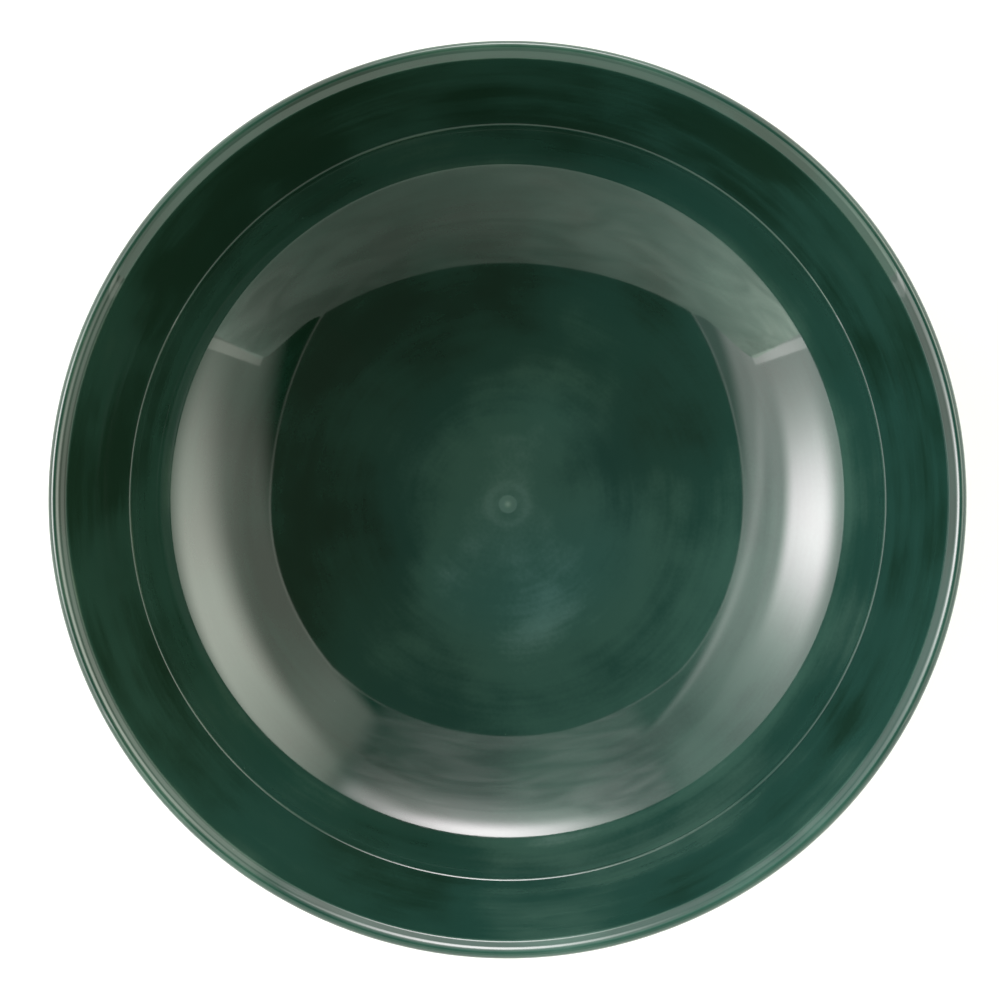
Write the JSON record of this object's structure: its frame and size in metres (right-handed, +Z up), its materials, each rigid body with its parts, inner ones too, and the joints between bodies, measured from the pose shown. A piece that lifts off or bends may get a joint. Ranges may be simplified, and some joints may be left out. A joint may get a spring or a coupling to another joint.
{
  "type": "mixing bowl",
  "caption": "Round glazed ceramic mixing bowl with a bevelled lip, a fine ridge round the wall and a bare foot ring, for holding and mixing food.",
  "frame": {"origin": "centre of the foot ring's underside, on the surface that the bowl stands on", "axes": "+Z up along the axis that the bowl is turned about, towards its mouth; +X and +Y level, and free because the bowl is round"},
  "size_m": [0.28, 0.28, 0.0944],
  "materials": {
    "fired_clay": "bare fired clay, matt, wiped clean of glaze",
    "green_glaze": "glossy dark bottle-green glaze, cloudy, paler where it thins over edges"
  },
  "bodies": {
    "root": {"clay_body": "fired_clay", "glaze_coat": "green_glaze", "foot_well_glaze": "green_glaze"}
  },
  "joints": []
}
